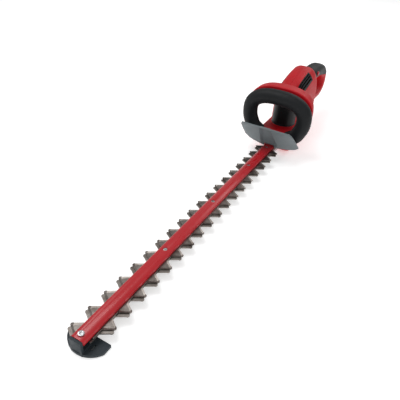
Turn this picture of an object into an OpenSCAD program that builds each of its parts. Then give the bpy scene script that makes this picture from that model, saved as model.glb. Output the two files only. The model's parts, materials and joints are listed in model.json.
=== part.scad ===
// Electric hedge trimmer with a double-acting blade bar, a front loop handle and a rear D handle.
// The blade bar points to -Y, the rear handle to +Y, and the tool lies on z = 0.

/* [Overall] */
// Length from the tip guard's front to the rear handle's back
overall_l = 932; // [920:1:945]
// Height of the plane where the two blades meet
blade_z = 16; // [15:0.5:17]

/* [Blades] */
// Distance from one tooth to the next on the same side
tooth_pitch = 32; // [30:1:33]
// Half of the width across the tooth tips
tooth_reach = 27; // [24:0.5:30]
// Width of a tooth at its root
tooth_root_w = 21; // [16:0.5:23]
// Radius of a tooth's rounded tip
tooth_tip_r = 3; // [2:0.5:4]
// Half of the width of a blade's spine
spine_half_w = 12.5; // [11:0.5:13]
// Thickness of one blade
blade_t = 2.2; // [1.6:0.1:2.4]
// Gap between each blade and the plane where they meet
blade_gap = 0.1; // [0.05:0.05:0.2]

/* [Drive] */
// Distance of an eccentric's centre from the crank's axis, half of the stroke
throw = 8; // [6:0.5:8]
// Crank angle at rest, from mid stroke
rest_angle = 30; // [0:5:45]
// Radius of an eccentric disc
eccentric_r = 11.5; // [10:0.5:12]
// Play between an eccentric and its yoke on each side
yoke_play = 2.1; // [2:0.1:3]
// Teeth on the crank gear
gear_teeth = 60; // [60:1:60]
// Teeth on the motor pinion
pinion_teeth = 10; // [10:1:10]
// Tooth module of the gear pair
gear_module = 1; // [1:0.1:1]

/* [Housing] */
// Half of the motor housing's width
hump_half_w = 36.5; // [34:0.5:38]
// Radius of the motor housing's round nose
nose_r = 26.5; // [26:0.5:27]
// Half of the gear deck's width
deck_half_w = 38; // [37:0.5:40]
// Height of the gear deck
deck_h = 52; // [50:1:54]
// Half of the rear handle's width
handle_half_w = 19; // [17:0.5:21]
// Thickness of the housing's wall
wall = 2.6; // [2:0.1:3]

/* [Front handle] */
// Half of the loop's outer width
loop_half_w = 78; // [72:1:84]
// Height of the loop's top
loop_top = 145; // [140:1:148]
// Radius of the loop's grip
loop_grip_r = 16; // [14:0.5:17]

/* [Guard] */
// Half of the hand guard's width at its top edge
guard_top_half_w = 56; // [50:1:62]
// Half of the hand guard's width at its lower corners
guard_low_half_w = 63; // [58:1:68]
// Thickness of the guard's plate
guard_t = 3; // [2.5:0.1:3.5]

/* [Hidden] */
// Lengthways places, measured from the middle of the tool
tip_y = -overall_l / 2;
rear_y = overall_l / 2;
crank_y = rear_y - 273;
gear_r = gear_module * gear_teeth / 2;
pinion_r = gear_module * pinion_teeth / 2;
motor_y = crank_y + gear_r + pinion_r;
first_tooth_y = tip_y + 46;
left_stagger = -24;
right_teeth = 18;
left_teeth = 19;
stroke = 2 * throw;
rest_shift = stroke * rest_angle / 180;
rail_ys = [tip_y + 13, tip_y + 197, tip_y + 348.5, tip_y + 500];
flange_ys = [crank_y - 66, crank_y - 46];
guide_ys = concat(rail_ys, flange_ys);

// Blade heights
upper_z = blade_z + blade_gap;
lower_z = blade_z - blade_gap - blade_t;
upper_top = upper_z + blade_t;

// Rail
rail_half_w = 10.5;
rail_z = upper_top + 0.4;
rail_h = 7;
rail_start = tip_y + 5;
rail_end = crank_y - 36;
rail_wall = 2.2;

// Guide screws, bushes and nuts
bush_r = 4;
bush_bore_r = 2.1;
screw_r = 2;
guide_slot_half_w = bush_r + 0.4;
guide_slot_l = stroke + 2 * bush_r + 1.6;

// Yokes at the blades' rear ends
yoke_slot_half_x = throw + eccentric_r + 0.8;
yoke_slot_half_y = eccentric_r + yoke_play;
yoke_rim = 4;

// Gearbox
case_half_w = 34.5;
case_front = crank_y - 34.5;
case_wall = 2.5;
case_floor_z = 3;
case_floor_t = 4;
case_split_z = 31.5;
case_top_z = 36;
gear_z = 22;
gear_t = 8;
shaft_r = 4;
journal_r = 3;
fit_gap = 0.04;

hump_end = crank_y + 159;

// Vent panels on the shoulders
vent_x = 17;
vent_w = 16;
vent_l = 66;
vent_lean = 12.5;

// Motor
motor_z = case_top_z + 1.5;
motor_h = 62;
motor_r = 24;
motor_can_t = 2;
armature_r = 17.5;
motor_shaft_r = 2.5;
fan_z = motor_z + motor_h + 6.5;

// Rear handle's grip and controls
pin_y = 364;
pin_z = 115;
button_y = 364;
button_z = 128;
inlet_rim_y = rear_y - 4;
inlet_z = 88;

$fn = 48;

red = "#c1272d";
dark_red = "#a81f27";
black = "#25282b";
grey = "#6f777b";
steel = "#9aa0a4";

// ---------- shared shapes ----------

// Closed outline of a superellipse, as a list of 2-D points
function oval(half_w, half_h, power, count) = [
  for (i = [0 : count - 1])
    let (a = 360 * i / count, c = cos(a), s = sin(a))
      [half_w * sign(c) * pow(abs(c), 2 / power), half_h * sign(s) * pow(abs(s), 2 / power)]
];

// Skin over a list of equal rings of 3-D points, with flat ends or closed into a loop
module skin(rings, looped = false) {
  n = len(rings[0]);
  m = len(rings);
  last = looped ? m - 1 : m - 2;
  sides = [
    for (j = [0 : last], i = [0 : n - 1])
      let (
        a = j * n + i,
        b = j * n + (i + 1) % n,
        c = ((j + 1) % m) * n + (i + 1) % n,
        d = ((j + 1) % m) * n + i
      )
        each [[a, b, c], [a, c, d]]
  ];
  ends = looped ? [] : [[for (i = [n - 1 : -1 : 0]) i], [for (i = [0 : n - 1]) (m - 1) * n + i]];
  polyhedron(points = [for (r = rings) each r], faces = concat(sides, ends), convexity = 8);
}

// Smooth step from 0 to 1 as t goes from a to b
function ease(t, a, b) = let (u = min(1, max(0, (t - a) / (b - a)))) u * u * (3 - 2 * u);

module along_y(y) {
  translate([0, y, 0]) rotate([90, 0, 0]) children();
}

// Rounded bar with its length along Y, open for a 2-D section in X and Z
module bar_y(y0, y1) {
  translate([0, y1, 0]) rotate([90, 0, 0]) linear_extrude(y1 - y0) children();
}

module hex_nut(r, h, bore) {
  difference() {
    cylinder(r = r, h = h, $fn = 6);
    translate([0, 0, -1]) cylinder(r = bore, h = h + 2, $fn = 32);
  }
}

// Socket-head screw pointing down from its head's underside
module cap_screw(r, l, head_r, head_h) {
  difference() {
    union() {
      cylinder(r = head_r, h = head_h, $fn = 32);
      translate([0, 0, -l]) cylinder(r = r, h = l + 0.5, $fn = 32);
    }
    translate([0, 0, head_h * 0.4]) cylinder(r = head_r * 0.5, h = head_h, $fn = 6);
  }
}

// ---------- housing ----------

// Top of the motor housing along its length
function hump_top(y) =
  132 + 26 * ease(y, crank_y - 30, hump_end - 47) - 19 * ease(y, hump_end - 47, hump_end - 14);
// Half width of the motor housing: a narrow round nose, then shoulders, drawn in towards the handle
function hump_w(y) =
  let (middle = crank_y - 5 + nose_r)
    y < middle ? sqrt(max(0.01, pow(nose_r, 2) - pow(middle - y, 2)))
               : nose_r + (hump_half_w - nose_r) * ease(y, middle, middle + 22)
                 - (hump_half_w - handle_half_w) * ease(y, hump_end - 40, hump_end);
function hump_low(y) = 48 * ease(y, hump_end - 67, hump_end);

module hump(inset) {
  nose_y = crank_y - 5 + inset;
  steps = 16;
  rings = [
    for (i = [0 : steps])
      let (
        u = i / steps,
        y = i == 0 ? nose_y + 0.15 : nose_y + (hump_end - nose_y - inset) * pow(u, 1.6),
        z1 = hump_top(y) - inset,
        z0 = hump_low(y) + inset,
        w = i == 0 ? 5 : max(4, hump_w(y - inset * 0.2) - inset)
      )
        [for (p = oval(w, (z1 - z0) / 2, 3.4, 32))
          let (draw_in = 0.16 * pow((p[1] / (z1 - z0) + 0.5), 4))
            [p[0] * (1 - draw_in), y, (z0 + z1) / 2 + p[1]]]
  ];
  skin(rings);
}

// Deck over the gearbox, between the guard and the motor
module deck(inset) {
  front = crank_y - 40;
  stations = [
    [front + inset, 33, 24, deck_h - 5],
    [front + 5, deck_half_w - 1, 18, deck_h - 1],
    [front + 12, deck_half_w, 9, deck_h],
    [front + 21, deck_half_w, 3, deck_h],
    [front + 29, deck_half_w, -0.5, deck_h],
    [crank_y + 40, deck_half_w, -0.5, deck_h],
    [crank_y + 72, hump_half_w, -0.5, deck_h + 8],
    [crank_y + 100 - inset, hump_half_w - 2, 3, deck_h]
  ];
  rings = [
    for (s = stations)
      let (w = s[1] - inset, z0 = s[2] + inset, z1 = s[3] - inset)
        [for (p = oval(w, (z1 - z0) / 2, 7, 28)) [p[0], s[0], (z0 + z1) / 2 + p[1]]]
  ];
  skin(rings);
}

// Centre line of the D handle, as y, z and half thickness, round its opening
handle_line = [
  [346, 124, 15.5], [372, 124.5, 15.2], [398, 123.5, 15], [418, 120.5, 15.2],
  [435, 114, 15.5], [448.2, 103.5, 15.5], [453.4, 90, 15.7], [451.5, 77, 14.5],
  [442.5, 66, 13.5], [427, 60, 12], [405, 59, 11], [375, 60, 11.5],
  [345, 62, 14], [332, 75, 14], [329, 93, 14], [334, 112, 15]
];
function handle_dir(i) =
  let (
    n = len(handle_line),
    a = handle_line[(i + n - 1) % n],
    b = handle_line[(i + 1) % n],
    d = [b[0] - a[0], b[1] - a[1]]
  )
    d / norm(d);

module handle_loop(inset) {
  rings = [
    for (i = [0 : len(handle_line) - 1])
      let (p = handle_line[i], d = handle_dir(i), out = [-d[1], d[0]])
        [for (q = oval(handle_half_w - inset, p[2] - inset, 2.7, 28))
          [q[0], p[0] + out[0] * q[1], p[1] + out[1] * q[1]]]
  ];
  skin(rings, looped = true);
}

module housing_outside() {
  hump(0);
  deck(0);
  handle_loop(0);
}

module housing_inside() {
  hump(wall);
  deck(wall);
  handle_loop(wall);
}

// Openings that other parts pass through or sit in
module housing_cuts() {
  // blade and rail mouth
  translate([-17, crank_y - 60, 1]) cube([34, 39, 27]);
  // room for the last teeth
  translate([-30, crank_y - 60, 12]) cube([60, 24, 8]);
  // screws that hold the guard
  for (side = [-1, 1]) translate([side * 23, 0, 26.5]) along_y(165) cylinder(r = 1.75, h = 30, $fn = 24);
  // black cover in the nose
  cover_block(0.2);
  vent_block(1, 0.2);
  vent_block(-1, 0.2);
  // trigger slot under the grip
  translate([-6, pin_y - 4, 100]) cube([12, 36, 16]);
  // lock-off button
  translate([-30, button_y, button_z]) rotate([0, 90, 0]) cylinder(r = 5.4, h = 60, $fn = 32);
  // recess for the power inlet
  translate([-15, rear_y - 20, inlet_z - 12]) cube([30, 30, 24]);
}

// Bosses inside one half: each is y, z and the reach from the mid-plane
screw_bosses = [[300, 40, 35], [262, 20, 36.5], [385, 59, 17.5], [438, 70, 17.5]];
boss_r = 4;
module bosses() {
  for (b = screw_bosses)
    translate([0, b[0], b[1]]) rotate([0, 90, 0])
      cylinder(r = boss_r, h = 2 * b[2], center = true, $fn = 24);
  for (side = [-1, 1])
    translate([side * 11.5, pin_y, pin_z]) rotate([0, 90, 0])
      cylinder(r = 3.5, h = 11.8, center = true, $fn = 24);
}

module housing_half(side) {
  difference() {
    intersection() {
      union() {
        difference() {
          housing_outside();
          housing_inside();
        }
        bosses();
      }
      translate([side > 0 ? 0.05 : -100.05, -500, 0]) cube([100, 1000, 200]);
    }
    housing_cuts();
    grip_block(0.1);
    for (b = screw_bosses)
      translate([-14.1, b[0], b[1]]) rotate([0, 90, 0]) cylinder(r = 1.64, h = 26.2, $fn = 24);
    translate([-9.1, pin_y, pin_z]) rotate([0, 90, 0]) cylinder(r = 1.54, h = 18.2, $fn = 32);
  }
}

module housing_left() { color(red) housing_half(1); }
module housing_right() { color(red) housing_half(-1); }

// Space of the black cover over the motor's front
module cover_block(gap) {
  translate([-30 - gap, crank_y - 20, deck_h + 1 - gap])
    cube([60 + 2 * gap, 44 + gap, 68 + 2 * gap]);
}

module motor_front_cover() {
  color(black) difference() {
    intersection() {
      difference() {
        hump(0);
        hump(wall);
      }
      cover_block(0);
    }
    for (k = [0 : 5]) translate([-16, crank_y - 20, deck_h + 16 + 7 * k]) cube([32, 30, 3]);
  }
}

// Space of a ribbed vent panel on the shoulder of the motor housing
module vent_block(side, gap) {
  translate([side > 0 ? vent_x - gap : -vent_x - vent_w - gap, crank_y + 30, 122])
    rotate([vent_lean, 0, 0]) translate([0, -gap, -gap]) cube([vent_w + 2 * gap, vent_l + 2 * gap, 60]);
}

module vent_panel(side) {
  color(black) {
    difference() {
      intersection() {
        difference() {
          hump(0.3);
          hump(wall + 0.6);
        }
        vent_block(side, 0);
      }
      for (k = [0 : 3])
        translate([side * (vent_x + 2.6 + 3.6 * k) - 0.9, crank_y + 30, 100])
          rotate([vent_lean, 0, 0]) translate([0, 4, 0]) cube([1.8, vent_l - 8, 80]);
    }
  }
}
module vent_panel_left() { vent_panel(1); }
module vent_panel_right() { vent_panel(-1); }

// Top of the rear handle that the soft grip covers
module grip_block(gap) {
  translate([-40, hump_end - 12 - gap, 123.9 - gap]) rotate([-10.5, 0, 0]) cube([80, 140, 60]);
}

module rear_grip() {
  color(black) difference() {
    intersection() {
      difference() {
        housing_outside();
        housing_inside();
      }
      grip_block(0);
    }
    translate([-30, button_y, button_z]) rotate([0, 90, 0]) cylinder(r = 5.4, h = 60, $fn = 32);
  }
}

module housing_screws() {
  color(steel) for (b = screw_bosses)
    translate([-14, b[0], b[1]]) rotate([0, 90, 0]) cylinder(r = 1.6, h = 26, $fn = 24);
}

// ---------- front handle and guard ----------

// Centre line of the loop in x and z, from the right foot over the top to the left foot
function loop_line(count) =
  let (
    half_w = loop_half_w - loop_grip_r,
    half_h = 39,
    mid_z = loop_top - loop_grip_r - half_h
  ) [
    for (i = [0 : count])
      let (a = -57 + 294 * i / count, c = cos(a), s = sin(a), drop = 14 * ease(-s, 0.45, 0.85))
        [half_w * sign(c) * pow(abs(c), 0.8), mid_z + half_h * sign(s) * pow(abs(s), 0.8) - drop]
  ];

// Loop with a section of [outward, lengthways] points for each place, listed clockwise
module loop_sweep(first, last, sections) {
  line = loop_line(34);
  n = len(line) - 1;
  rings = [
    for (i = [first : last])
      let (
        p = line[i],
        d = line[min(n, i + 1)] - line[max(0, i - 1)],
        t = d / norm(d),
        out = [t[1], -t[0]]
      )
        [for (q = sections[i]) [p[0] + out[0] * q[0], crank_y - 35 + q[1], p[1] + out[1] * q[0]]]
  ];
  difference() {
    skin(rings);
    // the deck that the feet stand against
    translate([-deck_half_w - 0.1, crank_y - 60, -1])
      cube([2 * deck_half_w + 0.2, 200, deck_h + 1.1]);
  }
}

// Height of a place on the loop, from -1 at its foot to 1 at its top
loop_rise = [for (i = [0 : 34]) sin(-57 + 294 * i / 34)];

// Soft front of the loop: round, with a flat back where the shell stands on it
module loop_grip() {
  r = loop_grip_r;
  color(black) loop_sweep(0, 34, [
    for (rise = loop_rise)
      let (back = 13.5 + 2.5 * (1 - ease(rise, -0.5, -0.1)))
        [for (a = [0 : 20 : 340]) [r * cos(a), max(-r, min(back, -r * sin(a)))]]
  ]);
}

// Hard hood on the back of the loop: its section at the two thin ends and at the top
hood_end = [
  [-10, 13.6], [-10, 15], [-9, 15.5], [0, 15.5], [2, 15.6],
  [6, 15.8], [10, 15.6], [12, 15.2], [12.2, 14.6], [12, 13.6]
];
hood_top = [
  [-14, 13.6], [-14, 27], [-11, 29.6], [6, 29.6], [8.5, 40],
  [12, 43.5], [17, 41], [18, 36], [18, 16], [16.6, 13.6]
];
module loop_shell() {
  color(red) loop_sweep(6, 28, [
    for (rise = loop_rise) hood_end + ease(rise, 0.02, 0.84) * (hood_top - hood_end)
  ]);
}

// Leaning plate: each station is x, then y and z of its lower edge, then y and z of its upper edge
guard_half = [
  [0, 143, 20, 98, 81], [16, 143, 20, 98, 81], [40, 149, 21, 98, 81],
  [guard_top_half_w - 3, 152, 23, 98, 81],
  [guard_top_half_w + 1, 153, 24.5, 103, 76], [guard_low_half_w - 2.5, 154, 26.5, 124, 56],
  [guard_low_half_w, 153.5, 28, 148, 33]
];
module guard_plate() {
  left = [for (i = [len(guard_half) - 1 : -1 : 1]) [-guard_half[i][0], each [for (k = [1 : 4]) guard_half[i][k]]]];
  rings = [
    for (s = concat(left, guard_half))
      let (d = [s[3] - s[1], s[4] - s[2]], t = d / norm(d), out = guard_t * [t[1], -t[0]])
        [
          [s[0], s[3], s[4]], [s[0], s[3] + out[0], s[4] + out[1]],
          [s[0], s[1] + out[0], s[2] + out[1]], [s[0], s[1], s[2]]
        ]
  ];
  skin(rings);
}

module hand_guard() {
  color(grey) difference() {
    union() {
      guard_plate();
      // foot screwed to the front of the housing
      for (side = [-1, 1]) translate([side * 23 - 7, 146, 20.5]) cube([14, 6.8, 12]);
    }
    translate([-12, crank_y - 120, 0]) cube([24, 100, 27.2]);
    for (side = [-1, 1])
      translate([side * 23, 120, 26.5]) along_y(0) cylinder(r = 1.7, h = 90, center = true, $fn = 24);
  }
}

module guard_screws() {
  color(steel) for (side = [-1, 1])
    translate([side * 23, 0, 26.5]) along_y(157) cylinder(r = 1.6, h = 16, $fn = 24);
}

// ---------- gearbox ----------

module case_outline(inset) {
  translate([-case_half_w + inset, case_front + inset]) square([2 * (case_half_w - inset), 69 - 2 * inset]);
  translate([0, motor_y]) circle(r = 18 - 3.8 * inset);
}

module case_screw_places() {
  for (x = [-29.4, 29.4], y = [crank_y - 27.5, crank_y + 27.5]) translate([x, y, 0]) children();
}

module gearcase_base() {
  color(steel) difference() {
    union() {
      intersection() {
        union() {
          difference() {
            translate([0, 0, case_floor_z])
              linear_extrude(case_split_z - case_floor_z) case_outline(0);
            intersection() {
              translate([0, 0, case_floor_z + case_floor_t]) linear_extrude(40) case_outline(case_wall);
              deck(wall + 0.3 + case_wall);
            }
          }
          case_screw_places() translate([0, 0, case_floor_z])
            cylinder(r = 4, h = case_split_z - case_floor_z, $fn = 32);
        }
        deck(wall + 0.3);
      }
      translate([0, crank_y, case_floor_z + 0.3]) cylinder(r = 9, h = 8.7);
      // tongue that the blade bar is bolted to
      translate([-13, crank_y - 74, 6]) cube([26, 53, 7.3]);
    }
    // mouth for the blades
    translate([-14, case_front - 1, lower_z - 0.35])
      cube([28, 14, upper_top - lower_z + 1.2]);
    translate([0, crank_y, 0]) cylinder(r = 6 + fit_gap, h = 40);
    case_screw_places() translate([0, 0, 10]) cylinder(r = 1.6, h = 40, $fn = 24);
    for (y = flange_ys) translate([0, y, 0]) cylinder(r = screw_r + 0.05, h = 20);
  }
}

module gearcase_cover() {
  color(steel) difference() {
    intersection() {
      translate([0, 0, case_split_z + 0.05]) linear_extrude(case_top_z - case_split_z) case_outline(0);
      deck(wall + 0.3);
    }
    translate([0, crank_y, 0]) cylinder(r = 8 + fit_gap, h = 60);
    translate([0, motor_y, 0]) cylinder(r = 7, h = 60);
    case_screw_places() cylinder(r = 1.8, h = 60, $fn = 24);
  }
}

module gearcase_screws() {
  color(steel) case_screw_places() translate([0, 0, case_top_z + 0.1]) cap_screw(1.5, 20, 3, 2.6);
}

module flange_screws() {
  color(steel) for (y = flange_ys) translate([0, y, rail_z + 3.8]) cap_screw(screw_r, 14.5, 3.2, 2.6);
}

// ---------- blade bar ----------

module blade_rail() {
  arch = [for (a = [0 : 10 : 180]) [rail_half_w * cos(a), 3.4 + (rail_h - 3.4) * sin(a)]];
  color(red) difference() {
    translate([0, 0, rail_z]) bar_y(rail_start, rail_end)
      polygon(concat([[-rail_half_w, 0], [rail_half_w, 0]], arch));
    translate([-rail_half_w + rail_wall, rail_start - 1, rail_z - 1])
      cube([2 * (rail_half_w - rail_wall), rail_end - rail_start + 2, 1 + rail_h - 2.5]);
    for (y = guide_ys)
      translate([0, y, rail_z]) cylinder(r = y == rail_ys[0] ? screw_r + 0.2 : 3.5, h = 20, $fn = 32);
  }
}

// Half-moon plate under the blade tips, with a block that closes the rail's end
module tip_guard() {
  color("#363b40") difference() {
    union() {
      intersection() {
        translate([0, tip_y + 34.5, 0]) cylinder(r = 34.5, h = 5, $fn = 96);
        translate([-30, tip_y - 1, 0]) cube([60, 32, 5]);
      }
      translate([-9.5, tip_y + 2, 0]) cube([19, 16, 8]);
      translate([-9.5, tip_y + 0.8, 0]) cube([19, 3.9, rail_z + rail_h - 0.8]);
    }
    translate([0, rail_ys[0], -1]) cylinder(r = screw_r + 0.2, h = 20, $fn = 32);
    translate([0, rail_ys[0], -1]) cylinder(r = 5, h = 4, $fn = 32);
    // slots to hang the tool by
    for (side = [-1, 1]) translate([side * 14 - 1.2, tip_y + 12, -1]) cube([2.4, 9, 8]);
  }
}

module rail_screws() {
  color("silver") {
    translate([0, rail_ys[0], rail_z + rail_h + 0.05]) cap_screw(screw_r, 21.5, 4.2, 2);
    for (i = [1 : 3]) translate([0, rail_ys[i], rail_z + 3.8]) cap_screw(screw_r, 14.5, 3.2, 2.6);
  }
}

module guide_bushes() {
  color("#b8a15a") for (y = guide_ys)
    translate([0, y, lower_z - 0.3])
      difference() {
        cylinder(r = bush_r, h = rail_z + 3.7 - lower_z + 0.3, $fn = 40);
        translate([0, 0, -1]) cylinder(r = bush_bore_r, h = 20, $fn = 32);
      }
}

module guide_washers() {
  color("silver") for (y = rail_ys)
    translate([0, y, lower_z - 1.5])
      difference() {
        cylinder(r = 6.8, h = 1.15, $fn = 40);
        translate([0, 0, -1]) cylinder(r = bush_bore_r, h = 4, $fn = 32);
      }
}

module rail_nuts() {
  color(steel) for (i = [0 : 3])
    translate([0, rail_ys[i], i == 0 ? 8.1 : lower_z - 4.6]) hex_nut(4, 3, screw_r + 0.02);
}

// One blade seen from above, at mid stroke, with its stagger of the left teeth
module tooth(side, y) {
  root = tooth_root_w / 2;
  x = tooth_reach - tooth_tip_r;
  translate([0, y]) {
    polygon([
      [side * (spine_half_w - 1), -root - 1], [side * spine_half_w, -root], [side * x, -tooth_tip_r],
      [side * x, tooth_tip_r], [side * spine_half_w, root], [side * (spine_half_w - 1), root + 1]
    ]);
    translate([side * x, 0]) circle(r = tooth_tip_r, $fn = 24);
  }
}

module blade_solid() {
  difference() {
    union() {
      translate([-spine_half_w, tip_y + 17, 0])
        cube([2 * spine_half_w, crank_y - tip_y - 20 - yoke_slot_half_y, blade_t]);
      for (i = [0 : right_teeth - 1])
        linear_extrude(blade_t) tooth(1, first_tooth_y - rest_shift + tooth_pitch * i);
      for (i = [0 : left_teeth - 1])
        linear_extrude(blade_t) tooth(-1, first_tooth_y - rest_shift + left_stagger + tooth_pitch * i);
      translate([-yoke_slot_half_x - yoke_rim, crank_y - yoke_slot_half_y - yoke_rim, 0])
        cube([2 * (yoke_slot_half_x + yoke_rim), 2 * (yoke_slot_half_y + yoke_rim), blade_t]);
    }
    translate([-yoke_slot_half_x, crank_y - yoke_slot_half_y, -1])
      cube([2 * yoke_slot_half_x, 2 * yoke_slot_half_y, blade_t + 2]);
    // slots for the guide bushes
    for (y = guide_ys) {
      translate([-guide_slot_half_w, y - guide_slot_l / 2 + guide_slot_half_w, -1])
        cube([2 * guide_slot_half_w, guide_slot_l - 2 * guide_slot_half_w, blade_t + 2]);
      for (end = [-1, 1])
        translate([0, y + end * (guide_slot_l / 2 - guide_slot_half_w), -1])
          cylinder(r = guide_slot_half_w, h = blade_t + 2, $fn = 32);
    }
  }
}

module upper_blade() {
  color(steel) translate([0, rest_shift, upper_z]) blade_solid();
}

module lower_blade() {
  color(steel) translate([0, -rest_shift, lower_z]) blade_solid();
}

// ---------- crank ----------

module crankshaft() {
  color("#7d8185") translate([0, crank_y, 0]) {
    translate([0, 0, upper_top + 0.3]) cylinder(r = shaft_r, h = case_top_z - upper_top - 0.3, $fn = 48);
    translate([0, 0, upper_top + 0.3]) cylinder(r = 12, h = gear_z - upper_top - 0.5);
    rotate(rest_angle) {
      translate([throw, 0, blade_z]) cylinder(r = eccentric_r, h = blade_t + blade_gap + 0.5);
      translate([-throw, 0, lower_z]) cylinder(r = eccentric_r, h = blade_t + blade_gap + 0.1);
    }
    translate([0, 0, case_floor_z + 0.5]) cylinder(r = journal_r, h = lower_z - case_floor_z);
  }
}

// Involute of a circle of radius base, at roll angle a
function involute(base, a) = base * [cos(a) + a * PI / 180 * sin(a), sin(a) - a * PI / 180 * cos(a)];
function turned(p, a) = [p[0] * cos(a) - p[1] * sin(a), p[0] * sin(a) + p[1] * cos(a)];

// Spur gear outline with shortened teeth and backlash, first tooth on +X
module spur(teeth) {
  pitch_r = gear_module * teeth / 2;
  base = pitch_r * cos(20);
  tip = pitch_r + 0.8 * gear_module;
  root = pitch_r - 1.15 * gear_module;
  backlash = 0.22 * gear_module;
  pitch_roll = sqrt(pow(pitch_r / base, 2) - 1) * 180 / PI;
  half = 90 / teeth - backlash / pitch_r * 90 / PI + pitch_roll - 20;
  tip_roll = sqrt(pow(tip / base, 2) - 1) * 180 / PI;
  first_roll = root > base ? sqrt(pow(root / base, 2) - 1) * 180 / PI : 0;
  flank = [for (k = [0 : 4]) turned(involute(base, first_roll + (tip_roll - first_roll) * k / 4), -half)];
  low = [for (k = [0 : 4]) [flank[4 - k][0], -flank[4 - k][1]]];
  foot = turned([root, 0], -half);
  outline = [
    for (t = [0 : teeth - 1])
      for (p = concat([foot], flank, low, [[foot[0], -foot[1]]])) turned(p, 360 * t / teeth)
  ];
  polygon(outline);
}

module crank_gear() {
  color("#8b8f93") translate([0, crank_y, gear_z]) difference() {
    linear_extrude(gear_t) rotate(90) spur(gear_teeth);
    translate([0, 0, -1]) cylinder(r = shaft_r + fit_gap, h = gear_t + 2);
    for (a = [0 : 60 : 300]) rotate(a) translate([16, 0, -1]) cylinder(r = 5, h = gear_t + 2, $fn = 32);
  }
}

module crank_lower_bearing() {
  color("#b8a15a") translate([0, crank_y, case_floor_z + 0.2]) difference() {
    cylinder(r = 6, h = 8.7);
    translate([0, 0, -1]) cylinder(r = journal_r + fit_gap, h = 20);
  }
}

module crank_upper_bearing() {
  color("#b8a15a") translate([0, crank_y, gear_z + gear_t + 0.4]) difference() {
    cylinder(r = 8, h = case_top_z - gear_z - gear_t - 0.3);
    translate([0, 0, -1]) cylinder(r = shaft_r + fit_gap, h = 20);
  }
}

// ---------- motor ----------

module ring_z(outer, inner, h) {
  difference() {
    cylinder(r = outer, h = h);
    translate([0, 0, -1]) cylinder(r = inner, h = h + 2);
  }
}

module motor_can() {
  color("#8d9296") translate([0, motor_y, motor_z]) difference() {
    cylinder(r = motor_r, h = motor_h);
    translate([0, 0, motor_can_t]) cylinder(r = motor_r - motor_can_t, h = motor_h);
    translate([0, 0, -1]) cylinder(r = 6 + fit_gap, h = 10);
  }
}

module motor_magnets() {
  color("#3a3a3c") translate([0, motor_y, motor_z + 8]) difference() {
    ring_z(motor_r - motor_can_t - 0.05, armature_r + 0.7, 40);
    for (side = [-1, 1]) translate([-5, side > 0 ? 0 : -40, -1]) cube([10, 40, 60]);
  }
}

module motor_end_cap() {
  color("#2d2f31") translate([0, motor_y, motor_z + motor_h]) difference() {
    union() {
      translate([0, 0, 0.05]) cylinder(r = motor_r, h = 3);
      cylinder(r = 7, h = 5);
    }
    translate([0, 0, -1]) cylinder(r = motor_shaft_r + fit_gap, h = 20);
  }
}

module motor_brushes() {
  color("#2a2a2a") translate([0, motor_y, motor_z + motor_h - 10]) {
    translate([8.4, -3, 0]) cube([12, 6, 5]);
    translate([-20.4, -3, 0]) cube([12, 6, 5]);
  }
}

module motor_lower_bearing() {
  color(steel) translate([0, motor_y, motor_z - 0.5]) ring_z(6, motor_shaft_r + fit_gap, 6);
}

module armature() {
  color("#7b6a4a") translate([0, motor_y, motor_z + 8]) difference() {
    ring_z(armature_r, motor_shaft_r, 38);
    for (k = [0 : 11]) rotate(30 * k) translate([armature_r - 5, -1.2, -1]) cube([10, 2.4, 50]);
  }
}

module motor_shaft() {
  color("#a8acb0") translate([0, motor_y, gear_z - 1]) cylinder(r = motor_shaft_r, h = fan_z + 8 - gear_z);
}

module commutator() {
  color("#a5673f") translate([0, motor_y, motor_z + motor_h - 12]) difference() {
    ring_z(8, motor_shaft_r, 9);
    for (k = [0 : 11]) rotate(30 * k) translate([7, -0.3, -1]) cube([3, 0.6, 20]);
  }
}

module motor_pinion() {
  color("#8b8f93") translate([0, motor_y, gear_z]) difference() {
    linear_extrude(gear_t) rotate(-90 + 180 / pinion_teeth) spur(pinion_teeth);
    translate([0, 0, -1]) cylinder(r = motor_shaft_r, h = 20);
  }
}

module cooling_fan() {
  color("#d8d4c8") translate([0, motor_y, fan_z]) {
    ring_z(7, motor_shaft_r, 7);
    difference() {
      cylinder(r = 22.5, h = 1.6);
      translate([0, 0, -1]) cylinder(r = 6, h = 5);
    }
    for (k = [0 : 8]) rotate(40 * k) translate([6.5, -0.7, 1]) cube([15.5, 1.4, 7]);
  }
}

// ---------- controls and power inlet ----------

// Lever that hangs under the grip; it turns about its pin at the front
module trigger() {
  color(dark_red) difference() {
    translate([-5, 0, 0]) rotate([90, 0, 90]) linear_extrude(10)
      polygon([
        [pin_y - 3.4, pin_z - 3], [pin_y + 1, pin_z - 10], [pin_y + 8, pin_z - 16], [pin_y + 16, pin_z - 18.5],
        [pin_y + 24, pin_z - 18], [pin_y + 30, pin_z - 14], [pin_y + 30, pin_z - 5], [pin_y + 3, pin_z + 3.4],
        [pin_y - 2, pin_z + 3.4]
      ]);
    translate([-10, pin_y, pin_z]) rotate([0, 90, 0]) cylinder(r = 1.5 + fit_gap, h = 20, $fn = 32);
  }
}

module trigger_pin() {
  color("silver") translate([-9, pin_y, pin_z]) rotate([0, 90, 0]) cylinder(r = 1.5, h = 18, $fn = 32);
}

// Cross button in the sides of the grip
module lock_off_button() {
  color(dark_red) translate([-21.6, button_y, button_z]) rotate([0, 90, 0]) cylinder(r = 5, h = 43.2, $fn = 48);
}

module switch_body() {
  color("#1c1e20") translate([-14.5, pin_y + 12, pin_z + 3]) cube([29, 26, 12]);
}

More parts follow.
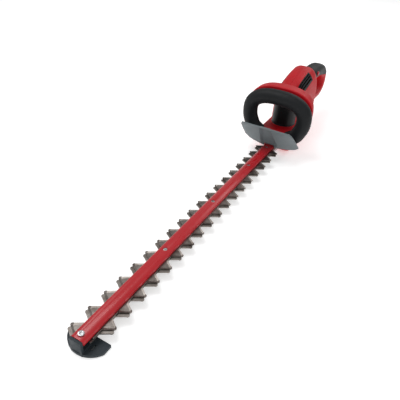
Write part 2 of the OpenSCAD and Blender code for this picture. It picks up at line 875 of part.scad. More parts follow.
// Recessed inlet in the back of the handle
module power_inlet() {
  color("#1c1e20") difference() {
    translate([-14.8, rear_y - 19.8, inlet_z - 11.8])
      cube([29.6, inlet_rim_y - rear_y + 19.8, 23.6]);
    translate([-13, rear_y - 17, inlet_z - 10]) cube([26, 30, 20]);
    for (side = [-1, 1])
      translate([side * 6.35 - 0.8, rear_y - 30, inlet_z - 3.2]) cube([1.6, 40, 6.4]);
  }
}

module inlet_prongs() {
  color("#c9a74a") for (side = [-1, 1])
    translate([side * 6.35 - 0.75, rear_y - 23, inlet_z - 3.15]) cube([1.5, 17, 6.3]);
}

housing_left();
housing_right();
motor_front_cover();
vent_panel_left();
vent_panel_right();
rear_grip();
housing_screws();
loop_shell();
loop_grip();
hand_guard();
guard_screws();
gearcase_base();
gearcase_cover();
gearcase_screws();
flange_screws();
blade_rail();
tip_guard();
rail_screws();
guide_bushes();
guide_washers();
rail_nuts();
upper_blade();
lower_blade();
crankshaft();
crank_gear();
crank_lower_bearing();
crank_upper_bearing();
motor_can();
motor_magnets();
motor_end_cap();
motor_brushes();
motor_lower_bearing();
armature();
motor_shaft();
commutator();
motor_pinion();
cooling_fan();
trigger();
trigger_pin();
lock_off_button();
switch_body();
power_inlet();
inlet_prongs();
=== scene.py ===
import bpy
import bmesh
import json
import math
from mathutils import Matrix, Vector


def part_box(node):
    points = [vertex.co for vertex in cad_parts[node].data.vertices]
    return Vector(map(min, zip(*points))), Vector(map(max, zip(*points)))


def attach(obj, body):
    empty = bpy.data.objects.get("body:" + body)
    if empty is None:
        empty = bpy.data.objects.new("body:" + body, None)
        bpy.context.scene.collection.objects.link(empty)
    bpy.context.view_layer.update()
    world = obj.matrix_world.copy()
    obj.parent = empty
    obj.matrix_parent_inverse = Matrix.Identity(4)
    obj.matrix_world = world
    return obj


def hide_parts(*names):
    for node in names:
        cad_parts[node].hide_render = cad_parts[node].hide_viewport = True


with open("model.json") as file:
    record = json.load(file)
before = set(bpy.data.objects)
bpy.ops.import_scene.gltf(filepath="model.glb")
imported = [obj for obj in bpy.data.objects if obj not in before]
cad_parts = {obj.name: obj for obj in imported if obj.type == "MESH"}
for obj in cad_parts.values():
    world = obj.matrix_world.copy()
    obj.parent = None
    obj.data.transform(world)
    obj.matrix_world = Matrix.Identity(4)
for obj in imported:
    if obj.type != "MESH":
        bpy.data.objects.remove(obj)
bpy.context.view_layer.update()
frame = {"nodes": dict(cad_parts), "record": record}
nodes = frame["nodes"]
homeBody = {name: body for body, names in frame["record"]["behaviour"]["bodies"].items() for name in names}

toMetres = 0.001  # the shapes below are worked in millimetres
crankY = sum(c.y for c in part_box("crank_gear")) / 2 / toMetres


class Wire:
    # a value on its way through a material; sums on it add Math nodes
    def __init__(self, finish, socket):
        self.finish = finish
        self.socket = socket

    def maths(self, operation, first, second):
        return self.finish.add("Math", {"operation": operation}, {0: first, 1: second})

    def __add__(self, other):
        return self.maths("ADD", self, other)

    def __radd__(self, other):
        return self.maths("ADD", other, self)

    def __sub__(self, other):
        return self.maths("SUBTRACT", self, other)

    def __rsub__(self, other):
        return self.maths("SUBTRACT", other, self)

    def __mul__(self, other):
        return self.maths("MULTIPLY", self, other)

    def __rmul__(self, other):
        return self.maths("MULTIPLY", other, self)


class Finish:
    def __init__(self, name):
        self.material = bpy.data.materials.new(name)
        self.material.use_nodes = True
        self.tree = self.material.node_tree
        self.shader = self.tree.nodes["Principled BSDF"]
        self.place = self.add("TexCoord", out="Object")

    def add(self, kind, settings=None, sockets=None, out=0):
        made = self.tree.nodes.new("ShaderNode" + kind)
        for key, value in (settings or {}).items():
            if key == "stops":
                ramp = made.color_ramp
                while len(ramp.elements) < len(value):
                    ramp.elements.new(0.5)
                for element, (where, shade) in zip(ramp.elements, value):
                    element.position = where
                    element.color = (shade, shade, shade, 1)
            else:
                setattr(made, key, value)
        for key, value in (sockets or {}).items():
            self.feed(made.inputs[key], value)
        return Wire(self, made.outputs[out])

    def feed(self, socket, value):
        if isinstance(value, Wire):
            self.tree.links.new(value.socket, socket)
        else:
            socket.default_value = value

    def set(self, **values):
        for key, value in values.items():
            self.feed(self.shader.inputs[key.replace("_", " ")], value)

    def noise(self, scale, detail=3.0, stretch=(1, 1, 1)):
        place = self.add("Mapping", None, {"Vector": self.place, "Scale": stretch})
        return self.add("TexNoise", None, {"Vector": place, "Scale": scale, "Detail": detail})

    def blendColour(self, amount, first, second):
        return self.add("Mix", {"data_type": "RGBA"}, {0: amount, 6: (*first, 1), 7: (*second, 1)}, out=2)

    def ramp(self, value, *stops):
        return self.add("ValToRGB", {"stops": stops}, {0: value})

    def bump(self, height, strength, distance, under=None):
        sockets = {"Height": height, "Strength": strength, "Distance": distance}
        if under:
            sockets["Normal"] = under
        return self.add("Bump", None, sockets)


plasticLook = {
    # base colour, darker patches, roughness, grain size, grain strength, coat
    "housingRed": ((0.50, 0.006, 0.013), (0.42, 0.005, 0.010), 0.42, 1500, 0.10, 0.0),
    "controlRed": ((0.34, 0.007, 0.013), (0.27, 0.005, 0.009), 0.36, 1600, 0.08, 0.15),
    "softBlack": ((0.0105, 0.0120, 0.0135), (0.0075, 0.0085, 0.0095), 0.48, 900, 0.30, 0.0),
    "hardBlack": ((0.0085, 0.0095, 0.0105), (0.0065, 0.0070, 0.0080), 0.42, 1700, 0.16, 0.05),
    "guardGrey": ((0.150, 0.175, 0.185), (0.125, 0.148, 0.156), 0.46, 1300, 0.16, 0.0),
    "tipDark": ((0.030, 0.040, 0.048), (0.022, 0.030, 0.036), 0.42, 1300, 0.16, 0.0),
    "fanPlastic": ((0.62, 0.59, 0.52), (0.55, 0.52, 0.45), 0.45, 1500, 0.10, 0.0),
    "carbonBlack": ((0.014, 0.014, 0.015), (0.009, 0.009, 0.010), 0.62, 2200, 0.30, 0.0),
    "ferrite": ((0.045, 0.045, 0.05), (0.03, 0.03, 0.033), 0.55, 1200, 0.25, 0.0),
}
plasticSpecular = 0.20


def mouldedPlastic(name):
    colour, patch, roughness, grain, strength, coat = plasticLook[name]
    finish = Finish(name)
    clouds = finish.noise(22.0, 4.0)
    fine = finish.noise(grain, 2.0)
    wear = finish.noise(140.0, 5.0, (1, 0.25, 1))
    finish.set(Base_Color=finish.blendColour(finish.ramp(clouds, (0.3, 0.0), (0.75, 1.0)), colour, patch))
    finish.set(Roughness=roughness + 0.10 * finish.ramp(wear, (0.35, 0.0), (0.75, 1.0)) + 0.05 * clouds)
    finish.set(Normal=finish.bump(fine, strength, 0.0002))
    finish.set(Coat_Weight=coat)
    finish.shader.inputs["Coat Roughness"].default_value = 0.18
    finish.shader.inputs["Specular IOR Level"].default_value = plasticSpecular
    return finish.material


metalLook = {
    # base colour, stain colour, roughness, direction the grain is squeezed in, grain scale
    "bladeSteel": ((0.27, 0.245, 0.225), (0.11, 0.09, 0.078), 0.36, (6, 0.4, 1), 160),
    "zincSteel": ((0.50, 0.51, 0.52), (0.34, 0.34, 0.33), 0.30, (1, 1, 1), 500),
    "driveSteel": ((0.46, 0.47, 0.48), (0.25, 0.24, 0.22), 0.30, (1, 1, 4), 300),
    "castAlloy": ((0.60, 0.61, 0.63), (0.48, 0.49, 0.50), 0.46, (1, 1, 1), 700),
    "bronze": ((0.55, 0.38, 0.17), (0.36, 0.23, 0.10), 0.40, (1, 1, 1), 600),
    "brass": ((0.78, 0.60, 0.28), (0.62, 0.44, 0.18), 0.27, (1, 3, 1), 400),
    "copperWinding": ((0.60, 0.26, 0.11), (0.30, 0.12, 0.06), 0.36, (1, 1, 12), 500),
}


def metal(name):
    colour, stain, roughness, stretch, scale = metalLook[name]
    finish = Finish(name)
    grain = finish.noise(scale, 4.0, stretch)
    stains = finish.noise(60.0, 6.0)
    finish.set(Base_Color=finish.blendColour(finish.ramp(stains, (0.40, 0.0), (0.72, 1.0)), colour, stain))
    finish.set(Roughness=roughness + 0.22 * (grain - 0.5) + 0.12 * stains)
    finish.set(Normal=finish.bump(grain, 0.16, 0.0002))
    finish.set(Metallic=1.0)
    return finish.material


def paintedSteel():
    finish = Finish("railRed")
    clouds = finish.noise(30.0, 4.0)
    peel = finish.noise(420.0, 2.0)
    rub = finish.ramp(finish.noise(90.0, 6.0, (1, 0.2, 1)), (0.42, 0.0), (0.70, 1.0))
    finish.set(Base_Color=finish.blendColour(clouds, (0.50, 0.008, 0.016), (0.42, 0.006, 0.012)))
    finish.set(Roughness=0.27 + 0.14 * rub)
    finish.set(Normal=finish.bump(peel, 0.14, 0.0003), Coat_Weight=0.12)
    finish.shader.inputs["Coat Roughness"].default_value = 0.12
    return finish.material


looks = {name: mouldedPlastic(name) for name in plasticLook}
looks.update({name: metal(name) for name in metalLook})
looks["railRed"] = paintedSteel()
slotLook = {
    "housing_red": "housingRed", "soft_black": "softBlack", "hard_black": "hardBlack",
    "guard_grey": "guardGrey", "tip_dark": "tipDark", "rail_red": "railRed", "zinc_steel": "zincSteel",
    "blade_steel": "bladeSteel", "drive_steel": "driveSteel", "cast_alloy": "castAlloy",
    "bronze": "bronze", "brass": "brass", "ferrite": "ferrite", "carbon": "carbonBlack",
    "copper_winding": "copperWinding", "fan_plastic": "fanPlastic", "control_red": "controlRed",
}
nodeSlot = {part["node"]: part["material_slot"] for part in frame["record"]["subparts"]}
for name, obj in nodes.items():
    obj.data.materials.clear()
    obj.data.materials.append(looks[slotLook[nodeSlot[name]]])
print("finishes ready")


def pieceFrom(bm, name, node, modifiers=(), scale=True):
    # a finished piece in metres that stands for a CAD node and moves with its body
    if scale:
        bmesh.ops.scale(bm, vec=(toMetres,) * 3, verts=bm.verts)
    mesh = bpy.data.meshes.new(name)
    bm.to_mesh(mesh)
    bm.free()
    obj = bpy.data.objects.new(name, mesh)
    bpy.context.scene.collection.objects.link(obj)
    for face in mesh.polygons:
        face.use_smooth = True
    mesh.materials.append(looks[slotLook[nodeSlot[node]]])
    for kind, settings in modifiers:
        modifier = obj.modifiers.new(kind.title(), kind)
        for key, value in settings.items():
            setattr(modifier, key, value)
    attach(obj, homeBody[node])
    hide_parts(node)
    return obj


def softEdge(width, segments=2, angle=35):
    return ("BEVEL", {"width": width * toMetres, "segments": segments, "limit_method": "ANGLE",
                      "angle_limit": math.radians(angle), "harden_normals": True, "use_clamp_overlap": True})


def wallInward(thickness):
    return ("SOLIDIFY", {"thickness": thickness * toMetres, "offset": -1.0, "use_rim": True,
                         "use_even_offset": False})


def ease(t, a, b):
    u = min(1.0, max(0.0, (t - a) / (b - a)))
    return u * u * (3 - 2 * u)


def ring(bm, segments, shape, across, upward, centre):
    # a circle bent by shape(cos, sin) and set across a path
    verts = bmesh.ops.create_circle(bm, segments=segments, radius=1.0)["verts"]
    for v in verts:
        a, b = shape(v.co.x, v.co.y)
        v.co = centre + across * a + upward * b
    return list({e for v in verts for e in v.link_edges})


def oval(halfWidth, halfHeight, power):
    def shape(c, s):
        return (halfWidth * math.copysign(abs(c) ** (2 / power), c),
                halfHeight * math.copysign(abs(s) ** (2 / power), s))
    return shape


def joinRings(bm, rings, closed=False):
    pairs = list(zip(rings, rings[1:] + rings[:1])) if closed else list(zip(rings, rings[1:]))
    for first, second in pairs:
        bmesh.ops.bridge_loops(bm, edges=first + second)
    if not closed:
        bmesh.ops.holes_fill(bm, edges=rings[0], sides=0)
        bmesh.ops.holes_fill(bm, edges=rings[-1], sides=0)
    bmesh.ops.recalc_face_normals(bm, faces=bm.faces)


def blendPoints(p0, p1, p2, p3, t):
    # Catmull-Rom between p1 and p2, for points of any size
    return tuple(
        0.5 * (2 * b + (c - a) * t + (2 * a - 5 * b + 4 * c - d) * t * t + (3 * b - a - 3 * c + d) * t ** 3)
        for a, b, c, d in zip(p0, p1, p2, p3))


def smoothLoop(points, steps):
    count = len(points)
    path = []
    for i in range(count):
        around = [points[(i + k) % count] for k in (-1, 0, 1, 2)]
        path += [blendPoints(*around, j / steps) for j in range(steps)]
    return path


welding = {"distance": 2e-6, "shortest": 1e-6, "flatAngle": math.radians(1.5)}


def cadCopy(node):
    # welded copy of a CAD node with its flat faces whole again
    bm = bmesh.new()
    bm.from_mesh(nodes[node].data)
    bmesh.ops.remove_doubles(bm, verts=bm.verts, dist=welding["distance"])
    bmesh.ops.dissolve_limit(bm, angle_limit=welding["flatAngle"], verts=bm.verts, edges=bm.edges)
    bmesh.ops.dissolve_degenerate(bm, dist=welding["shortest"], edges=bm.edges)
    return bm


def refined(node, name, edge, segments=2, angle=32):
    return pieceFrom(cadCopy(node), name, node, [softEdge(edge, segments, angle)], scale=False)


housing = {
    "wall": 2.4, "seam": 0.3, "voxel": 1.5, "smoothing": 7, "smoothFactor": 0.5, "ringPoints": 48,
}
hump = {
    "front": crankY - 5, "end": crankY + 159, "halfWidth": 36.5, "power": 3.4,
    "noseRadius": 26.5, "noseTip": 5.0, "noseInset": 0.35, "shoulderLength": 22, "drawIn": 0.16, "steps": 32,
    "top": 132, "topRise": 26, "riseStart": crankY - 30, "peak": crankY + 112,  # height along its back
    "topDrop": 19, "dropEnd": crankY + 145,
    "taperLength": 40, "tailLift": 48, "tailLength": 67,  # towards the rear handle
}
deck = {"front": crankY - 40, "halfWidth": 38.0, "height": 52.0, "power": 7}
handle = {"halfWidth": 19.0, "power": 2.7, "steps": 4, "ringPoints": 40}
# centre line of the rear handle, as y, z and half thickness
handleLine = [
    (346, 124, 15.5), (372, 124.5, 15.2), (398, 123.5, 15), (418, 120.5, 15.2),
    (435, 114, 15.5), (448.2, 103.5, 15.5), (452.3, 90, 13.8), (451.5, 77, 14.0),
    (442.5, 66, 13.5), (427, 60, 12), (405, 59, 11), (375, 60, 11.5),
    (345, 62, 14), (332, 75, 14), (329, 93, 14), (334, 112, 15)]
acrossX = Vector((1, 0, 0))
alongY = Vector((0, 1, 0))
upZ = Vector((0, 0, 1))


def humpWidth(y):
    radius = hump["noseRadius"]
    middle = hump["front"] + radius
    if y < middle:
        return math.sqrt(max(hump["noseTip"] ** 2, radius ** 2 - (middle - y) ** 2))
    shoulders = (hump["halfWidth"] - radius) * ease(y, middle, middle + hump["shoulderLength"])
    taper = ease(y, hump["end"] - hump["taperLength"], hump["end"])
    return radius + shoulders - (hump["halfWidth"] - handle["halfWidth"]) * taper


def humpTop(y):
    rise = hump["topRise"] * ease(y, hump["riseStart"], hump["peak"])
    return hump["top"] + rise - hump["topDrop"] * ease(y, hump["peak"], hump["dropEnd"])


def humpRings(bm):
    radius, end = hump["noseRadius"], hump["end"]
    middle = hump["front"] + radius
    places = [middle - (radius - hump["noseInset"]) * math.cos(math.radians(a)) for a in range(4, 90, 6)]
    places += [middle + (end - middle) * k / hump["steps"] for k in range(1, hump["steps"] + 1)]
    rings = []
    for y in places:
        top = humpTop(y)
        low = hump["tailLift"] * ease(y, end - hump["tailLength"], end)
        plain = oval(humpWidth(y), (top - low) / 2, hump["power"])

        def shape(c, s):
            a, b = plain(c, s)
            return a * (1 - hump["drawIn"] * (b / (top - low) + 0.5) ** 4), b
        rings.append(ring(bm, housing["ringPoints"], shape, acrossX, upZ, Vector((0, y, (top + low) / 2))))
    joinRings(bm, rings)


def deckRings(bm):
    front, wide, height = deck["front"], deck["halfWidth"], deck["height"]
    stations = [
        # y, half width, underside and top
        (front, wide - 5, 25, height - 5), (front + 2, wide - 2.2, 21.5, height - 2),
        (front + 5, wide - 1, 18.5, height - 1), (front + 12, wide, 9.5, height),
        (front + 21, wide, 3.5, height), (front + 29, wide, 0, height), (crankY + 40, wide, 0, height),
        (crankY + 72, hump["halfWidth"], 0, height + 8), (crankY + 100, hump["halfWidth"] - 2, 3, height)]
    rings = []
    for y, width, low, top in stations:
        shape = oval(width, (top - low) / 2, deck["power"])
        rings.append(ring(bm, housing["ringPoints"], shape, acrossX, upZ, Vector((0, y, (top + low) / 2))))
    joinRings(bm, rings)


def handleRings(bm):
    path = smoothLoop(handleLine, handle["steps"])
    rings = []
    for i, (y, z, half) in enumerate(path):
        before, after = path[i - 1], path[(i + 1) % len(path)]
        along = Vector((0, after[0] - before[0], after[1] - before[1])).normalized()
        outward = Vector((0, -along.z, along.y))
        shape = oval(handle["halfWidth"], half, handle["power"])
        rings.append(ring(bm, handle["ringPoints"], shape, acrossX, outward, Vector((0, y, z))))
    joinRings(bm, rings, closed=True)


def bodySkin():
    # three closed forms become one smooth skin with soft fillets where they meet
    bm = bmesh.new()
    for rings in (humpRings, deckRings, handleRings):
        part = bmesh.new()
        rings(part)
        mesh = bpy.data.meshes.new("form")
        part.to_mesh(mesh)
        part.free()
        bm.from_mesh(mesh)
        bpy.data.meshes.remove(mesh)
    mesh = bpy.data.meshes.new("form")
    bm.to_mesh(mesh)
    bm.free()
    form = bpy.data.objects.new("form", mesh)
    bpy.context.scene.collection.objects.link(form)
    remesh = form.modifiers.new("Remesh", "REMESH")
    remesh.mode = "VOXEL"
    remesh.voxel_size = housing["voxel"]
    smooth = form.modifiers.new("Smooth", "SMOOTH")
    smooth.factor = housing["smoothFactor"]
    smooth.iterations = housing["smoothing"]
    bpy.context.view_layer.update()
    skin = bmesh.new()
    skin.from_mesh(form.evaluated_get(bpy.context.evaluated_depsgraph_get()).to_mesh())
    bpy.data.objects.remove(form)
    bpy.data.meshes.remove(mesh)
    bmesh.ops.recalc_face_normals(skin, faces=skin.faces)
    return skin


# regions of the skin that become pieces of their own
gripLean = math.radians(10.5)
gripAlong = Vector((0, math.cos(gripLean), -math.sin(gripLean)))
gripUp = Vector((0, math.sin(gripLean), math.cos(gripLean)))
gripCorner = Vector((0, hump["end"] - 12, 123.9))
cover = {"back": crankY + 24, "low": 53.0, "high": 121.0}
vent = {"innerLeft": 17.0, "innerRight": 23.0, "outer": 33.0, "length": 66.0,
        "slots": 4, "firstSlot": 19.6, "slotStep": 3.6, "slotHalf": 0.9, "slotEnd": 4.0}
ventLean = math.radians(12.5)
ventAlong = Vector((0, math.cos(ventLean), math.sin(ventLean)))
ventUp = Vector((0, -math.sin(ventLean), math.cos(ventLean)))
ventCorner = Vector((0, crankY + 30, 122.0))
openings = [
    # places in the skin that other parts pass through: x reach, y from and to, z from and to
    {"reach": 17.0, "y": (crankY - 60, crankY - 21), "z": (-1.0, 28.0)},
    {"reach": 6.0, "y": (360.0, 396.0), "z": (100.0, 116.0)},
    {"reach": 14.9, "y": (446.0, 480.0), "z": (76.0, 100.0)},
]


def insideGrip(p):
    d = p - gripCorner
    return min(d.dot(gripAlong), d.dot(gripUp))


def insideCover(p):
    return min(cover["back"] - p.y, p.z - cover["low"], cover["high"] - p.z)


def insideVent(p):
    d = p - ventCorner
    inner = vent["innerLeft"] if p.x > 0 else vent["innerRight"]
    return min(abs(p.x) - inner, vent["outer"] - abs(p.x), d.dot(ventAlong),
               vent["length"] - d.dot(ventAlong), d.dot(ventUp))


def insideSlot(p):
    along = (p - ventCorner).dot(ventAlong)
    lines = [vent["firstSlot"] + vent["slotStep"] * k for k in range(vent["slots"])]
    nearest = min(abs(abs(p.x) - line) for line in lines)
    return min(vent["slotHalf"] - nearest, along - vent["slotEnd"], vent["length"] - vent["slotEnd"] - along)


def insideOpening(p):
    return max(min(o["reach"] - abs(p.x), p.y - o["y"][0], o["y"][1] - p.y, p.z - o["z"][0], o["z"][1] - p.z)
               for o in openings)


def cutSkin(skin, chosen, point, normal):
    faces = [f for f in skin.faces if chosen(f.calc_center_median())]
    geometry = faces + list({e for f in faces for e in f.edges}) + list({v for f in faces for v in f.verts})
    bmesh.ops.bisect_plane(skin, geom=geometry, plane_co=point, plane_no=normal, dist=1e-4)


def nearGrip(p):
    return p.y > gripCorner.y - 15 and p.z > 90


def nearCover(p):
    return p.y < cover["back"] + 8 and p.z > cover["low"] - 6


def nearVent(p):
    return insideVent(p) > -6


def nearSlots(p):
    return insideVent(p) > -1


def cutRegions(skin):
    # two cuts side by side leave a thin strip, the seam, round each region
    half = housing["seam"] / 2
    for side in (-half, half):
        cutSkin(skin, lambda p: True, (side, 0, 0), acrossX)
        cutSkin(skin, nearGrip, gripCorner + gripAlong * side, gripAlong)
        cutSkin(skin, nearGrip, gripCorner + gripUp * side, gripUp)
        cutSkin(skin, nearCover, (0, cover["back"] + side, 0), alongY)
        for z in (cover["low"], cover["high"]):
            cutSkin(skin, nearCover, (0, 0, z + side), upZ)
        for x in (vent["innerLeft"], vent["outer"], -vent["innerRight"], -vent["outer"]):
            cutSkin(skin, nearVent, (x + side, 0, 0), acrossX)
        for reach in (0, vent["length"]):
            cutSkin(skin, nearVent, ventCorner + ventAlong * (reach + side), ventAlong)
        cutSkin(skin, nearVent, ventCorner + ventUp * side, ventUp)


def cutSlots(skin):
    for reach in (vent["slotEnd"], vent["length"] - vent["slotEnd"]):
        cutSkin(skin, nearSlots, ventCorner + ventAlong * reach, ventAlong)
    for k in range(vent["slots"]):
        for edge in (-vent["slotHalf"], vent["slotHalf"]):
            x = vent["firstSlot"] + vent["slotStep"] * k + edge
            for sign in (-1, 1):
                cutSkin(skin, nearSlots, (sign * x, 0, 0), acrossX)


def cutOpenings(skin):
    margin = 4
    for o in openings:
        def nearOpening(p):
            return (abs(p.x) < o["reach"] + margin
                    and o["y"][0] - margin < p.y < o["y"][1] + margin
                    and o["z"][0] - margin < p.z < o["z"][1] + margin)
        for sign in (-1, 1):
            cutSkin(skin, nearOpening, (sign * o["reach"], 0, 0), acrossX)
        for y in o["y"]:
            cutSkin(skin, nearOpening, (0, y, 0), alongY)
        for z in o["z"]:
            cutSkin(skin, nearOpening, (0, 0, z), upZ)


skinPieces = {
    # name of the piece: its CAD node
    "housingLeft": "housing_left", "housingRight": "housing_right", "rearGrip": "rear_grip",
    "motorFrontCover": "motor_front_cover",
    "ventPanelLeft": "vent_panel_left", "ventPanelRight": "vent_panel_right",
}


def skinPiece(p):
    # name of the piece that a place on the skin belongs to, or None in a seam or an opening
    half = housing["seam"] / 2
    inGrip, inCover, inVent = insideGrip(p), insideCover(p), insideVent(p)
    if inGrip > half:
        return "rearGrip"
    if inCover > half:
        return "motorFrontCover"
    if inVent > half:
        if insideSlot(p) > 0:
            return None
        return "ventPanelLeft" if p.x > 0 else "ventPanelRight"
    if max(inGrip, inCover, inVent) > -half or insideOpening(p) > 0 or abs(p.x) <= half:
        return None
    return "housingLeft" if p.x > 0 else "housingRight"


def numberSkin(skin):
    number = skin.faces.layers.int.new("number")
    order = list(skinPieces)
    for face in skin.faces:
        name = skinPiece(face.calc_center_median())
        face[number] = order.index(name) if name else -1


def skinPart(skin, wanted):
    part = skin.copy()
    number = part.faces.layers.int["number"]
    bmesh.ops.delete(part, geom=[f for f in part.faces if f[number] != wanted], context="FACES")
    return part


skin = bodySkin()
cutRegions(skin)
cutSlots(skin)
cutOpenings(skin)
numberSkin(skin)
for wanted, (name, node) in enumerate(skinPieces.items()):
    pieceFrom(skinPart(skin, wanted), name, node, [wallInward(housing["wall"]), softEdge(0.3, 2, 50)])
skin.free()
print("housing pieces ready")

loop = {"halfWidth": 61.8, "halfHeight": 39.0, "midZ": 90.0, "middleY": crankY - 35, "radius": 16.0,
        "firstAngle": -57.0, "sweep": 294.0, "count": 72, "gripPoints": 36, "buried": 13.0,
        "squareness": 0.8, "lowSquareness": 0.55, "footDrop": 7, "gripBack": 13.5, "footBack": 16.0,
        "hoodFirst": 13, "hoodLast": 59}
# section of the hood at its thin ends and at its top, as outward and lengthways
hoodEnd = [(-10, 13.6), (-10, 15), (-9, 15.5), (0, 15.5), (2, 15.6),
           (6, 15.8), (10, 15.6), (12, 15.2), (12.2, 14.6), (12, 13.6)]
hoodTop = [(-14, 13.6), (-14, 27), (-11, 29.6), (6, 29.6), (8.5, 40),
           (12, 43.5), (17, 41), (18, 36), (18, 16), (16.6, 13.6)]


def loopAngle(i):
    return math.radians(loop["firstAngle"] + loop["sweep"] * i / loop["count"])


def loopPlace(i):
    c, s = math.cos(loopAngle(i)), math.sin(loopAngle(i))
    power = loop["squareness"] - (loop["squareness"] - loop["lowSquareness"]) * ease(-s, 0.0, 0.5)
    x = math.copysign(abs(c) ** power, c) * loop["halfWidth"]
    z = loop["midZ"] + loop["halfHeight"] * math.copysign(abs(s) ** loop["squareness"], s)
    return Vector((x, loop["middleY"], z - loop["footDrop"] * ease(-s, 0.45, 0.85)))


def loopRing(bm, i, points, shift=0.0):
    place = loopPlace(i)
    along = (loopPlace(min(loop["count"], i + 1)) - loopPlace(max(0, i - 1))).normalized()
    outward = Vector((along.z, 0, -along.x))
    verts = bmesh.ops.create_circle(bm, segments=len(points), radius=1.0)["verts"]
    for v, (away, lengthways) in zip(verts, points):
        v.co = place + along * shift + outward * away + Vector((0, lengthways, 0))
    return list({e for v in verts for e in v.link_edges})


def gripSection(i):
    rise = math.sin(loopAngle(i))
    radius = loop["radius"]
    back = loop["gripBack"] + (loop["footBack"] - loop["gripBack"]) * (1 - ease(rise, -0.5, -0.1))
    turns = [2 * math.pi * k / loop["gripPoints"] for k in range(loop["gripPoints"])]
    return [(radius * math.cos(a), min(back, -radius * math.sin(a))) for a in turns]


def hoodSection(i):
    t = ease(math.sin(loopAngle(i)), 0.02, 0.84)
    return [(a + (c - a) * t, b + (d - b) * t) for (a, b), (c, d) in zip(hoodEnd, hoodTop)]


def makeLoopGrip():
    bm = bmesh.new()
    last = loop["count"]
    rings = [loopRing(bm, 0, gripSection(0), -loop["buried"])]
    rings += [loopRing(bm, i, gripSection(i)) for i in range(last + 1)]
    rings.append(loopRing(bm, last, gripSection(last), loop["buried"]))
    joinRings(bm, rings)
    return pieceFrom(bm, "loopGrip", "loop_grip", [softEdge(0.8, 2, 30)])


def makeLoopShell():
    bm = bmesh.new()
    joinRings(bm, [loopRing(bm, i, hoodSection(i)) for i in range(loop["hoodFirst"], loop["hoodLast"] + 1)])
    return pieceFrom(bm, "loopShell", "loop_shell", [softEdge(1.1, 3, 22)])


guard = {"halfWidth": 63.0, "thickness": 3.0, "columns": 126, "rows": 56, "edge": 0.8,
         "channelTop": 11.5, "channelLow": 18.0, "fold": 2.6, "recess": 5.5, "notch": 12.0, "notchTop": 27.2,
         "footX": 23.0, "foot": (14.0, 6.8, 12.0), "footY": 149.4, "footZ": 26.5}
backward = Vector((0, 0.811, 0.585))  # square to the guard's plate
guardStations = [
    # x, y and z of the lower edge, y and z of the upper edge
    (0, 143, 20, 98, 81), (16, 143, 20, 98, 81), (40, 149, 21, 98, 81), (53, 152, 23, 98, 81),
    (57, 153, 24.5, 103, 76), (60.5, 154, 26.5, 124, 56), (63, 153.5, 28, 148, 33)]


def guardStation(x):
    for first, second in zip(guardStations, guardStations[1:]):
        if x <= second[0]:
            t = (x - first[0]) / (second[0] - first[0])
            return [a + (b - a) * t for a, b in zip(first[1:], second[1:])]
    return guardStations[-1][1:]


def makeHandGuard():
    bm = bmesh.new()
    bmesh.ops.create_grid(bm, x_segments=guard["columns"], y_segments=guard["rows"], size=1.0)
    for v in bm.verts:
        x, t = v.co.x * guard["halfWidth"], (v.co.y + 1) / 2
        lowY, lowZ, topY, topZ = guardStation(abs(x))
        channel = guard["channelLow"] + (guard["channelTop"] - guard["channelLow"]) * t
        depth = guard["recess"] * (1 - ease(abs(x), channel - guard["fold"], channel + guard["fold"]))
        depth *= ease(t, 0.02, 0.2) * (1 - 0.85 * ease(t, 0.8, 1.0))  # shallow at both edges
        v.co = Vector((x, lowY + (topY - lowY) * t, lowZ + (topZ - lowZ) * t)) + backward * depth
    middles = {f: f.calc_center_median() for f in bm.faces}
    notched = [f for f, p in middles.items() if abs(p.x) < guard["notch"] and p.z < guard["notchTop"]]
    bmesh.ops.delete(bm, geom=notched, context="FACES")
    made = bmesh.ops.extrude_face_region(bm, geom=list(bm.faces))["geom"]
    thickened = [v for v in made if isinstance(v, bmesh.types.BMVert)]
    bmesh.ops.translate(bm, vec=backward * guard["thickness"], verts=thickened)
    for side in (-1, 1):
        foot = bmesh.ops.create_cube(bm, size=1.0)["verts"]
        bmesh.ops.scale(bm, vec=guard["foot"], verts=foot)
        bmesh.ops.translate(bm, vec=(side * guard["footX"], guard["footY"], guard["footZ"]), verts=foot)
    bmesh.ops.recalc_face_normals(bm, faces=bm.faces)
    return pieceFrom(bm, "handGuard", "hand_guard", [softEdge(guard["edge"], 2, 40)])


makeLoopGrip()
makeLoopShell()
makeHandGuard()
print("loop and guard ready")


blade = {"spineHalfWidth": 12.5, "ground": 2.6, "drop": 1.5, "teethEnd": crankY - 42}


def groundBlade(name, node, outer):
    # teeth with ground edges on the blade's outer face; outer is 1 for the upper blade, -1 for the lower
    bm = cadCopy(node)
    flat = [f for f in bm.faces if f.normal.z * outer > 0.99]
    rim = {v for f in flat for v in f.verts}
    bmesh.ops.inset_region(bm, faces=flat, thickness=blade["ground"] * toMetres, use_boundary=True,
                           use_even_offset=True)
    for v in rim:
        if abs(v.co.x) > (blade["spineHalfWidth"] + 0.2) * toMetres and v.co.y < blade["teethEnd"] * toMetres:
            v.co.z -= outer * blade["drop"] * toMetres
    piece = pieceFrom(bm, name, node, [softEdge(0.12, 1, 40)], scale=False)
    for face in piece.data.polygons:
        face.use_smooth = False
    return piece


groundBlade("upperBlade", "upper_blade", 1)
groundBlade("lowerBlade", "lower_blade", -1)
print("blades ready")


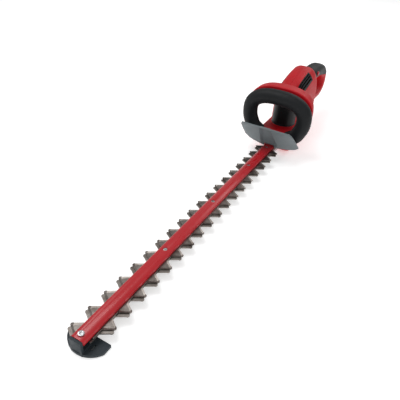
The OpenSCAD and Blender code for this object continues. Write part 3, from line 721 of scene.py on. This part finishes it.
softened = {
    # edge width in mm, segments, angle above which an edge is softened
    "blade_rail": (0.5, 3, 30), "tip_guard": (0.9, 3, 35),
    "rail_screws": (0.3, 2, 35), "rail_nuts": (0.3, 2, 35),
    "guide_washers": (0.2, 2, 35), "guide_bushes": (0.25, 2, 35), "flange_screws": (0.25, 2, 35),
    "guard_screws": (0.3, 2, 35), "housing_screws": (0.3, 2, 35), "gearcase_base": (0.4, 2, 40),
    "gearcase_cover": (0.5, 2, 40), "gearcase_screws": (0.25, 2, 35), "trigger": (1.0, 3, 30),
    "trigger_pin": (0.2, 2, 35), "lock_off_button": (0.9, 3, 35), "power_inlet": (0.5, 2, 35),
    "inlet_prongs": (0.2, 2, 35), "switch_body": (0.6, 2, 35), "crankshaft": (0.3, 2, 35),
    "motor_can": (0.6, 2, 35), "motor_end_cap": (0.5, 2, 35), "motor_brushes": (0.3, 2, 35),
    "armature": (0.3, 2, 35), "motor_shaft": (0.2, 2, 35), "cooling_fan": (0.15, 1, 35),
}
for node, (edge, segments, angle) in softened.items():
    words = node.split("_")
    refined(node, words[0] + "".join(word.title() for word in words[1:]), edge, segments, angle)
print("softened pieces ready")


view = {"place": (0.2716, -0.6732, 0.4732), "right": (0.862, 0.5044, 0.0512), "up": (-0.3322, 0.4856, 0.8086),
        "back": (0.3829, -0.714, 0.5862), "lens": 38.34, "floorGlow": 0.45, "worldGlow": 0.46}
lamps = {
    # place, target, size, watts
    "keyLamp": ((-0.75, -0.25, 1.7), (0, 0.05, 0.05), 1.1, 16),
    "fillLamp": ((1.6, -0.9, 1.1), (0, 0.1, 0.05), 1.6, 5),
    "backLamp": ((0.2, 1.7, 1.2), (0, 0.2, 0.1), 1.0, 6),
}


def setStage():
    floorFinish = Finish("paleFloor")
    cloud = floorFinish.noise(3.0, 2.0)
    floorFinish.set(Base_Color=floorFinish.blendColour(cloud, (0.90, 0.90, 0.90), (0.88, 0.88, 0.88)))
    floorFinish.set(Roughness=0.7)
    floorFinish.shader.inputs["Emission Color"].default_value = (1.0, 1.0, 1.0, 1.0)
    floorFinish.shader.inputs["Emission Strength"].default_value = view["floorGlow"]
    bm = bmesh.new()
    bmesh.ops.create_grid(bm, x_segments=4, y_segments=4, size=6.0)
    mesh = bpy.data.meshes.new("floor")
    bm.to_mesh(mesh)
    bm.free()
    floor = bpy.data.objects.new("floor", mesh)
    mesh.materials.append(floorFinish.material)
    bpy.context.scene.collection.objects.link(floor)
    for name, (place, target, size, watts) in lamps.items():
        light = bpy.data.lights.new(name, "AREA")
        light.size = size
        light.energy = watts
        lamp = bpy.data.objects.new(name, light)
        lamp.location = place
        lamp.rotation_euler = (Vector(target) - Vector(place)).to_track_quat("-Z", "Y").to_euler()
        bpy.context.scene.collection.objects.link(lamp)
    world = bpy.data.worlds.new("studio")
    world.use_nodes = True
    world.node_tree.nodes["Background"].inputs["Color"].default_value = (1.0, 1.0, 1.0, 1)
    world.node_tree.nodes["Background"].inputs["Strength"].default_value = view["worldGlow"]
    bpy.context.scene.world = world
    bpy.context.scene.view_settings.view_transform = "Standard"
    camera = bpy.data.cameras.new("viewCamera")
    camera.lens = view["lens"]
    camera.sensor_width = 36.0
    camera.clip_start = 0.01
    cameraObject = bpy.data.objects.new("viewCamera", camera)
    columns = [Vector(view[k]).normalized() for k in ("right", "up", "back")]
    turn = Matrix(columns).transposed().to_4x4()
    cameraObject.matrix_world = Matrix.Translation(view["place"]) @ turn
    bpy.context.scene.collection.objects.link(cameraObject)
    bpy.context.scene.camera = cameraObject


setStage()
print("stage ready")
